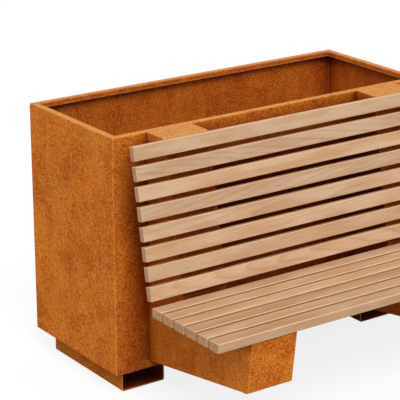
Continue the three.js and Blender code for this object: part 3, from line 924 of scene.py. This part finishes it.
def cheek(bm, bracket, sheet, hand):
    """One cheek: its web, the flange against the planter and the lip under it. Hand -1 is the left one."""
    b = bracket
    rear = b.gap + b.outside
    flange_top = b.rim - b.sheet - b.gap - sheet.relief
    flange_foot = b.rear_height + b.outside + sheet.relief + rear * math.tan(b.rise)
    lip_start = b.outside + sheet.relief
    lip_end = b.underside - sheet.front_lip - sheet.relief
    fold_rear = [bracket_point(rear, flange_foot), bracket_point(rear, flange_top)]
    fold_under = [b.under(lip_end, b.outside), b.under(lip_start, b.outside)]
    lift = b.outside / math.cos(b.rise)
    points = [
        bracket_point(b.gap, b.rim), bracket_point(b.top_depth, b.rim), bracket_point(b.seat_rear, b.seat),
        bracket_point(b.reach, b.seat), bracket_point(b.front_foot, b.front_height),
        b.under(lip_end + sheet.relief, 0), b.under(lip_end + sheet.relief, b.outside),
        *fold_under, bracket_point(rear, b.rear_height + lift + rear * math.tan(b.rise)),
        *fold_rear, bracket_point(rear, flange_top + sheet.relief),
        bracket_point(b.gap, flange_top + sheet.relief),
    ]
    radii = [0, b.outside, 0, b.outside, b.outside] + [0] * (len(points) - 5)
    outline = rounded(points, radii, b.steps)
    outer, inner = ([bm.verts.new(b.place(p.x, p.y, hand * half)) for p in outline]
                    for half in (b.half, b.half - b.sheet))
    bm.faces.new(outer)
    bm.faces.new(inner[::-1])
    inward = Vector((-hand, 0, 0))
    down = Vector((0, -math.sin(b.rise), -math.cos(b.rise)))
    folds = {outline.index(fold_rear[0]): (Vector((0, 1, 0)), sheet.cheek_flange),
             outline.index(fold_under[0]): (down, sheet.cheek_lip)}
    for i in range(len(outline)):
        j = (i + 1) % len(outline)
        if i in folds:
            away, width = folds[i]
            fold_on(bm, (outer[i], outer[j]), (inner[i], inner[j]), away, inward, b, width)
        else:
            bm.faces.new((outer[i], outer[j], inner[j], inner[i]))


def leaning_plate(bm, bracket, sheet):
    """Top plate and leaning face, one folded strip between the cheeks."""
    b = bracket
    foot = b.seat + b.gap + b.sheet * math.sin(b.lean)
    b.strip(bm, [bracket_point(b.gap, b.rim), bracket_point(b.top_depth, b.rim),
                 bracket_point(b.leaning_face(foot), foot)])


def seat_plate(bm, bracket, sheet):
    """Seat plate, front face and the lip under it, one folded strip between the cheeks."""
    b = bracket
    b.strip(bm, [bracket_point(b.seat_rear - b.sheet / math.cos(b.lean), b.seat),
                 bracket_point(b.reach, b.seat), bracket_point(b.front_foot, b.front_height),
                 b.under(b.underside - sheet.front_lip, 0)])


def inner_rib(bm, bracket, sheet):
    """The rib that ties the cheeks, folded at the top to lie under the seat plate."""
    low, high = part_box(f"{bracket.side}_bracket_rib")
    forward = bracket.wall - high.y
    bracket.strip(bm, [bracket_point(forward, low.z), bracket_point(forward, high.z),
                       bracket_point(forward + sheet.rib_fold, high.z)])


# Welds
def weld_bead(bm, start, end, radius):
    """A rippled bead from start to end, as a hand-run weld lies."""
    run = end - start
    forward = run.normalized()
    first = forward.orthogonal().normalized()
    second = forward.cross(first)
    ripple = radius * BEAD_PITCH_SHARE
    count = max(BEAD_ROWS, round(run.length / ripple * BEAD_ROWS))
    rows = []
    for i in range(count + 1):
        ease = min(1, (i + 0.5) / BEAD_ROWS, (count - i + 0.5) / BEAD_ROWS)
        row = []
        for turn in evenly_round(BEAD_SIDES):
            scale = (i / BEAD_ROWS + BEAD_CURL * math.cos(2 * turn)) % 1
            reach = radius * math.sqrt(ease) * (1 - BEAD_RELIEF * scale)
            out = first * math.cos(turn) + second * math.sin(turn)
            row.append(start + run * (i / count) + out * reach)
        rows.append(row)
    skinned(bm, rows)


def stitches(bm, start, run):
    """Short beads set evenly along a run from start."""
    half = run.normalized() * STITCH_LENGTH / 2
    for k in range(STITCHES):
        middle = start + run * (k + 0.5) / STITCHES
        weld_bead(bm, middle - half, middle + half, STITCH_BEAD)


def corner_beads(bm, sheet):
    """The beads up the inside corners of the planter."""
    low, high = planter_box()
    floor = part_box("planter_floor")[1].z
    inset = sheet.wall + CORNER_BEAD / 3
    for x in (low.x + inset, high.x - inset):
        for y in (low.y + inset, high.y - inset):
            weld_bead(bm, Vector((x, y, floor)), Vector((x, y, high.z - sheet.wall)), CORNER_BEAD)


def foot_stitches(bm):
    """Short beads that hold the feet to the floor above them."""
    for side in SIDES:
        low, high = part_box(f"{side}_foot")
        for x, hand in zip((low.x, high.x), HANDS):
            edge = Vector((x - hand * STITCH_BEAD / 2, low.y, high.z - STITCH_BEAD / 2))
            stitches(bm, edge, Vector((0, high.y - low.y, 0)))


def bracket_stitches(bm, bracket):
    """Short beads inside a bracket, between its cheeks and its plates."""
    b = bracket
    tilt = Vector((0, -math.sin(b.lean), -math.cos(b.lean)))
    lines = [(b.place(-b.seat_rear, b.seat - b.sheet, 0), Vector(FRONTWARD) * (b.reach - b.seat_rear)),
             (b.place(-b.top_depth + b.sheet / math.cos(b.lean), b.rim, 0),
              tilt * ((b.rim - b.seat) / math.cos(b.lean)))]
    for start, run in lines:
        for hand in HANDS:
            stitches(bm, start + Vector((hand * (b.half - b.sheet), 0, 0)), run)


# Slats
def slat_mesh(bm, centre, lean, size, edge, slats):
    """A slat whose eased edges a layer marks for abrasion and a painted highlight.
    Size is its length, thickness and width.
    """
    run, thickness, width = size
    tilt = Matrix.Rotation(-lean, 3, "X")
    rubbed = bm.verts.layers.float.new("rubbed")
    rows = []
    for hand in HANDS:
        ends = []
        for k in range(slats.steps + 1):
            turn = math.pi / 2 * k / slats.steps
            inset = slats.end * (1 - math.cos(turn))
            x = hand * (run / 2 - slats.end + slats.end * math.sin(turn))
            outline = rounded_rectangle(thickness - 2 * inset, width - 2 * inset,
                                        edge - inset, slats.steps)
            ends.append([centre + tilt @ Vector((x, p.x, p.y)) for p in outline])
        rows += ends[::-1] if hand < 0 else ends
    skinned(bm, rows)
    bulge = [math.sin(math.pi * k / slats.steps) for k in range(slats.steps + 1)]
    sawn_end = [0] * len(bulge * 4)
    sides = [max(across, along) for along in (bulge * 2)[1:-1] for across in bulge * 4]
    for vert, mark in zip(bm.verts, sawn_end + sides + sawn_end):
        vert[rubbed] = mark


def make_slat(node, draw, size, edge, lean=0.0):
    """One slat in place of its CAD node, with its own cut of the wood."""
    slats = bpy.context.scene.bench_slats
    low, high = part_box(node)
    centre = (low + high) / 2
    pith = draw.uniform(0, 2 * math.pi)
    distance = draw.uniform(*PITH_REACH)
    along = draw.uniform(-LOG_REACH, LOG_REACH)
    away = Vector((along, math.cos(pith) * distance, math.sin(pith) * distance))
    attributes = {"ring_shift": away - centre, "tone": 1 + draw.uniform(-slats.tone, slats.tone),
                  "blush": draw.uniform(*BLUSH),
                  "ring_slope": (0, draw.uniform(-1, 1) * RING_SLOPE, draw.uniform(-1, 1) * RING_SLOPE)}
    wood = shared_material("oiled_hardwood", hardwood)
    make_piece(f"{node}_board", wood, WOOD_SLOT, slat_mesh, centre, lean, size, edge, slats,
               replaces=[node], attributes=attributes)


# Fixings. Their rows are drawn round an axis, as (across, along, up).
def ring(along, radius_at):
    """A row of points round the axis, at the radius that is given for each angle."""
    row = []
    for turn in evenly_round(ROUND_STEPS):
        radius = radius_at(turn)
        row.append((radius * math.cos(turn), along, radius * math.sin(turn)))
    return row


def rounds(*places):
    """Round rows, each from its radius and its place along the axis."""
    return [ring(along, lambda turn: radius) for radius, along in places]


def hex_row(flats, along, limit):
    """A row of a hexagon across its flats, cut back to a radius where that is less."""
    def radius_at(turn):
        from_flat = (turn + math.pi / 6) % (math.pi / 3) - math.pi / 6
        return min(flats / 2 / math.cos(from_flat), limit)
    return ring(along, radius_at)


def hex_rows(flats, start, end):
    """A hexagon whose corners are turned down at its end."""
    corner = flats / math.sqrt(3)
    cut = corner - flats / 2
    drop = math.copysign(cut * math.tan(HEX_CHAMFER), end - start)
    shares = [k / (CHAMFER_ROWS - 1) for k in range(CHAMFER_ROWS)]
    return [hex_row(flats, start, corner)] + [
        hex_row(flats, end - drop * (1 - share), corner - cut * share) for share in shares]


def thread_rows(radius, start, end, pitch):
    """Rows of a screw thread, deepest halfway between its crests."""
    depth = pitch * THREAD_DEPTH_SHARE
    count = max(2, round(abs(end - start) / pitch * THREAD_ROWS))

    def thread_row(along):
        def radius_at(turn):
            crest = abs(2 * ((along / pitch + turn / (2 * math.pi)) % 1) - 1)
            return radius - depth * (1 - crest)
        return ring(along, radius_at)

    return [thread_row(start + (end - start) * i / count) for i in range(count + 1)]


def flanged_bolt(bm, node, nut_node, fixing):
    """A flanged bolt through the planter's wall, its head inside the planter."""
    low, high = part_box(node)
    nut_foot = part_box(nut_node)[0].y
    centre = (low + high) / 2
    radius = fixing.bolt / 2
    half_flats = fixing.flats / 2
    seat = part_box("planter_front_wall")[0].y + bpy.context.scene.bench_sheet.wall
    flange = fixing.bolt_flange / 2
    blunt, taper = TIP_SHARES
    thread_end, shank = THREAD_REST
    rows = rounds((radius * blunt, low.y), (radius * taper, low.y + EASED))
    rows += thread_rows(radius, low.y + TIP, nut_foot + thread_end, fixing.pitch)
    rows += rounds((radius, nut_foot + shank), (radius, seat), (flange - EASED, seat), (flange, seat + EASED),
                   (flange, seat + FLANGE_EDGE), (half_flats + FLANGE_RISE, seat + FLANGE_RISE))
    rows += hex_rows(fixing.flats, seat + FLANGE_RISE + HEAD_GAP, high.y)
    rows += rounds((half_flats - 2 * DISH, high.y), (half_flats - 2 * DISH - DISH_RUN, high.y - DISH))
    skinned(bm, rows, lambda x, y, z: (centre.x + x, y, centre.z + z))


def hex_nut(bm, node, fixing):
    """A hexagon nut with both faces turned down, round the bolt."""
    low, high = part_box(node)
    centre = (low + high) / 2
    bore = fixing.bolt / 2 + BORE_GAP
    rows = hex_rows(fixing.flats, centre.y, low.y)[::-1] + hex_rows(fixing.flats, centre.y, high.y)[1:]
    rows += rounds((bore + DISH, high.y), (bore, high.y - DISH), (bore, low.y + DISH), (bore + DISH, low.y))
    skinned(bm, rows, lambda x, y, z: (centre.x + x, y, centre.z + z), endless=True)


def slat_screw(bm, seat, into, fixing, through):
    """A flanged hexagon screw. Its head's seat is at a point, and it goes in along a direction."""
    first = into.orthogonal().normalized()
    second = into.cross(first)
    radius = fixing.screw / 2
    head = fixing.screw_head / 2
    flats = fixing.screw_head * 2 / 3
    bite = through + fixing.screw_bite
    point, taper = POINT_SHARES
    short, long = POINT_RUN
    ease, edge, rise = SCREW_FLANGE
    foot, top, dish = SCREW_HEAD
    rows = rounds((radius * point, bite), (radius * taper, bite - short), (radius, bite - long), (radius, 0),
                  (head - ease, 0), (head, -ease), (head, -edge), (flats / 2 + SCREW_WIDER, -rise))
    rows += hex_rows(flats, -foot, -top)
    rows += rounds(*((flats / 2 - less, -along) for less, along in zip(SCREW_NARROWER, (top, dish))))
    skinned(bm, rows, lambda x, y, z: seat + first * x + into * y + second * z)


def screw_pair(bm, bracket, fixing, y, z, into):
    """The two screws of one slat on a bracket."""
    for hand in HANDS:
        seat = Vector((bracket.middle + hand * fixing.screw_spread / 2, y, z))
        slat_screw(bm, seat, into, fixing, bracket.sheet)


def back_screws(bm, bracket, fixing):
    """Screws from inside the leaning face into the back slats."""
    out = Vector((0, -math.cos(bracket.lean), math.sin(bracket.lean)))
    depth = bpy.context.scene.bench_slats.back_thickness / 2 + bracket.gap + bracket.sheet
    for node in numbered("back_slat"):
        low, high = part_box(node)
        back = (low + high) / 2 - out * depth
        screw_pair(bm, bracket, fixing, back.y, back.z, out)


def seat_screws(bm, bracket, fixing):
    """Screws from under the seat plate into the seat slats, clear of the rib."""
    rib_low, rib_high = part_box(f"{bracket.side}_bracket_rib")
    head = fixing.screw_head / 2
    before, behind = rib_low.y - head - MM, rib_high.y + head + MM
    for node in numbered("seat_slat"):
        low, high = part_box(node)
        y = (low.y + high.y) / 2
        if before + MM < y < behind - MM:
            y = before if abs(before - y) < abs(behind - y) else behind
        screw_pair(bm, bracket, fixing, y, bracket.seat - bracket.sheet, Vector(UP))


# Stage
def seen_as_white(t):
    """Mask of the rays that meet white: the camera's, and those sent on by gloss or glass."""
    paths = t.node("ShaderNodeLightPath").outputs
    seen = t.sum("MAXIMUM", paths["Is Camera Ray"], paths["Is Glossy Ray"])
    return t.sum("MAXIMUM", seen, paths["Is Transmission Ray"])


def floor_material(stage):
    """Pale floor that keeps the object's shadow and shows white to the camera."""
    material, t, shader = new_material("pale_floor")
    material.node_tree.nodes.remove(shader)
    plain = t.node("ShaderNodeBsdfDiffuse", Color=stage.floor).outputs[0]
    dim = t.node("ShaderNodeBsdfDiffuse", Color=(SHADOW_SHARE,) * 3).outputs[0]
    glow = t.node("ShaderNodeEmission", Color=WHITE, Strength=FLOOR_GLOW - SHADOW_SHARE).outputs[0]
    lifted = t.node("ShaderNodeAddShader", None, dim, glow).outputs[0]
    choice = t.node("ShaderNodeMixShader", None, seen_as_white(t), plain, lifted).outputs[0]
    t.plug(material.node_tree.nodes["Material Output"].inputs["Surface"], choice)
    return material


def lay_floor(stage):
    bm = bmesh.new()
    corners = ((-1, -1), (1, -1), (1, 1), (-1, 1))
    bm.faces.new([bm.verts.new((x * FLOOR_REACH, y * FLOOR_REACH, 0)) for x, y in corners])
    mesh = bpy.data.meshes.new("floor")
    bm.to_mesh(mesh)
    bm.free()
    mesh.materials.append(floor_material(stage))
    floor = bpy.data.objects.new("floor", mesh)
    bpy.context.scene.collection.objects.link(floor)


def light_world(stage):
    """Light from all round, set apart for low down and overhead. The camera and gloss see it as white."""
    world = bpy.data.worlds.new("studio")
    bpy.context.scene.world = world
    world.use_nodes = True
    t = Tree(world.node_tree)
    seen = seen_as_white(t)
    height = t.axes(t.node("ShaderNodeTexCoord").outputs["Generated"])["Z"]
    sky = t.node("ShaderNodeMapRange", Value=height, To_Min=stage.horizon, To_Max=stage.zenith).outputs[0]
    background = world.node_tree.nodes["Background"]
    background.inputs["Color"].default_value = WHITE
    unseen = t.times(sky, t.sum("SUBTRACT", 1.0, seen))
    t.plug(background.inputs["Strength"], t.plus(unseen, seen))


def hang_key(stage):
    """One broad lamp in front of the bench, to its left and above it."""
    lamp = bpy.data.lights.new("key", "SUN")
    lamp.energy = stage.key
    lamp.angle = stage.key_spread
    key = bpy.data.objects.new("key", lamp)
    key.rotation_euler = Euler((math.pi / 2 - stage.key_rise, 0, stage.key_turn), "XYZ")
    bpy.context.scene.collection.objects.link(key)


def stand_camera(stage):
    data = bpy.data.cameras.new("camera")
    data.lens = stage.lens
    data.sensor_width = SENSOR_WIDTH
    data.clip_end = VIEW_END
    camera = bpy.data.objects.new("camera", data)
    bpy.context.scene.collection.objects.link(camera)
    sight = Vector(stage.camera_aim) - Vector(stage.camera_place)
    turn = sight.to_track_quat("-Z", "Y").to_matrix() @ Matrix.Rotation(stage.camera_roll, 3, "Z")
    camera.matrix_world = Matrix.Translation(stage.camera_place) @ turn.to_4x4()
    bpy.context.scene.camera = camera


# Operators
class BuildPlanter(bpy.types.Operator):
    """Builds the planter's shell, its drained floor and its two tube feet"""
    bl_idname = "bench.build_planter"
    bl_label = "Build planter"

    def execute(self, context):
        sheet = context.scene.bench_sheet
        edge = sheet.cut_edge
        steel = shared_material("rusted_planter_sheet", rusted, worn=1.3, backed=WALL_SHADE,
                                middle=planter_middle(), specks=1.25)
        walls = ["planter_front_wall", "planter_rear_wall", "planter_left_end", "planter_right_end"]
        make_piece("planter_shell", steel, STEEL_SLOT, planter_shell, sheet, replaces=walls, dressed=edge)
        make_piece("drained_floor", steel, STEEL_SLOT, drained_floor, sheet, replaces=["planter_floor"],
                   dressed=edge)
        steel = shared_material("rusted_foot_sheet", rusted, hidden=(0.38, 0.12))
        for side in SIDES:
            make_piece(f"{side}_tube_foot", steel, STEEL_SLOT, tube_foot, side, sheet,
                       replaces=[f"{side}_foot"], dressed=edge)
        return {"FINISHED"}


class BuildBrackets(bpy.types.Operator):
    """Builds the two boxed brackets of folded sheet"""
    bl_idname = "bench.build_brackets"
    bl_label = "Build brackets"

    def execute(self, context):
        sheet = context.scene.bench_sheet
        steel = shared_material("rusted_bracket_sheet", rusted, worn=0.2, backed=BRACKET_SHADE,
                                specks=1.4, seated=True)
        for side in SIDES:
            bracket = Bracket(side)
            for maker, name, node, *given in ((cheek, "cheek_left", "left_cheek", -1),
                                              (cheek, "cheek_right", "right_cheek", 1),
                                              (leaning_plate, "leaning_plate", "back_plate"),
                                              (seat_plate, "front_plate", "seat_plate"),
                                              (inner_rib, "inner_rib", "rib")):
                make_piece(f"{side}_bracket_{name}", steel, STEEL_SLOT, maker, bracket, sheet, *given,
                           replaces=[f"{side}_bracket_{node}"], dressed=sheet.cut_edge)
        return {"FINISHED"}


class RunWelds(bpy.types.Operator):
    """Runs the weld beads inside the planter, over the feet and inside the brackets"""
    bl_idname = "bench.run_welds"
    bl_label = "Run welds"

    def execute(self, context):
        weld = shared_material("weld_scale", rusted, worn=0.3, speck_scale=400.0, scale_amount=0.12,
                               relief=WELD_RELIEF, middle=planter_middle())
        make_piece("corner_weld_beads", weld, STEEL_SLOT, corner_beads, context.scene.bench_sheet)
        make_piece("foot_weld_beads", weld, STEEL_SLOT, foot_stitches)
        for side in SIDES:
            make_piece(f"{side}_bracket_weld_beads", weld, STEEL_SLOT, bracket_stitches, Bracket(side))
        return {"FINISHED"}


class LayBackSlats(bpy.types.Operator):
    """Lays the hardwood slats of the leaning back"""
    bl_idname = "bench.lay_back_slats"
    bl_label = "Lay back slats"

    def execute(self, context):
        slats = context.scene.bench_slats
        draw = random.Random(slats.seed)
        for node in numbered("back_slat"):
            low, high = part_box(node)
            size = (high.x - low.x, slats.back_thickness, slats.back_width)
            make_slat(node, draw, size, slats.back_edge, slats.lean)
        return {"FINISHED"}


class LaySeatSlats(bpy.types.Operator):
    """Lays the hardwood slats of the seat"""
    bl_idname = "bench.lay_seat_slats"
    bl_label = "Lay seat slats"

    def execute(self, context):
        slats = context.scene.bench_slats
        draw = random.Random(slats.seed + 1)
        for node in numbered("seat_slat"):
            low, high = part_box(node)
            make_slat(node, draw, high - low, slats.seat_edge)
        return {"FINISHED"}


class FitFixings(bpy.types.Operator):
    """Fits the bolts, nuts and slat screws"""
    bl_idname = "bench.fit_fixings"
    bl_label = "Fit bolts, nuts and screws"

    def execute(self, context):
        fixing = context.scene.bench_fixings
        zinc = shared_material("zinc_plate", zinc_plate)
        for side in SIDES:
            bracket = Bracket(side)
            for bolt in numbered(f"{side}_bracket_bolt"):
                number = bolt.rsplit("_", 1)[1]
                nut = f"{side}_bracket_nut_{number}"
                make_piece(f"{side}_flanged_bolt_{number}", zinc, FIXING_SLOT, flanged_bolt, bolt, nut,
                           fixing, replaces=[bolt])
                make_piece(f"{side}_hex_nut_{number}", zinc, FIXING_SLOT, hex_nut, nut, fixing,
                           replaces=[nut])
            for maker, name in ((back_screws, "back_screws"), (seat_screws, "seat_screws")):
                make_piece(f"{side}_bracket_{name}", zinc, FIXING_SLOT, maker, bracket, fixing)
        return {"FINISHED"}


class SetStage(bpy.types.Operator):
    """Lays the floor, lights it and stands the camera"""
    bl_idname = "bench.set_stage"
    bl_label = "Set stage"

    def execute(self, context):
        stage = context.scene.bench_stage
        context.scene.view_settings.view_transform = "Standard"
        for step in (stand_camera, light_world, hang_key, lay_floor):
            step(stage)
        return {"FINISHED"}


STEPS = (SetStage, BuildPlanter, BuildBrackets, RunWelds, LayBackSlats, LaySeatSlats, FitFixings)
SETTINGS = (("bench_sheet", SheetSettings), ("bench_slats", SlatSettings),
            ("bench_fixings", FixingSettings), ("bench_finish", FinishSettings),
            ("bench_stage", StageSettings))


class BENCH_PT_parts(bpy.types.Panel):
    """Lists the bench's building steps and their sizes and colours"""
    bl_label = "Bench with planter"
    bl_idname = "BENCH_PT_parts"
    bl_space_type = "VIEW_3D"
    bl_region_type = "UI"
    bl_category = "Bench"

    def draw(self, context):
        layout = self.layout
        for step in STEPS:
            layout.operator(step.bl_idname)
        for name, kind in SETTINGS:
            box = layout.box()
            box.label(text=kind.__doc__)
            for setting in kind.__annotations__:
                box.prop(getattr(context.scene, name), setting)


def register():
    for name, kind in SETTINGS:
        bpy.utils.register_class(kind)
        setattr(bpy.types.Scene, name, PointerProperty(type=kind))
    for step in STEPS:
        bpy.utils.register_class(step)
    bpy.utils.register_class(BENCH_PT_parts)


def unregister():
    bpy.utils.unregister_class(BENCH_PT_parts)
    for step in reversed(STEPS):
        bpy.utils.unregister_class(step)
    for name, kind in reversed(SETTINGS):
        delattr(bpy.types.Scene, name)
        bpy.utils.unregister_class(kind)


def main():
    register()
    for step in STEPS:
        space, call = step.bl_idname.split(".")
        getattr(getattr(bpy.ops, space), call)()


if __name__ == "__main__":
    main()
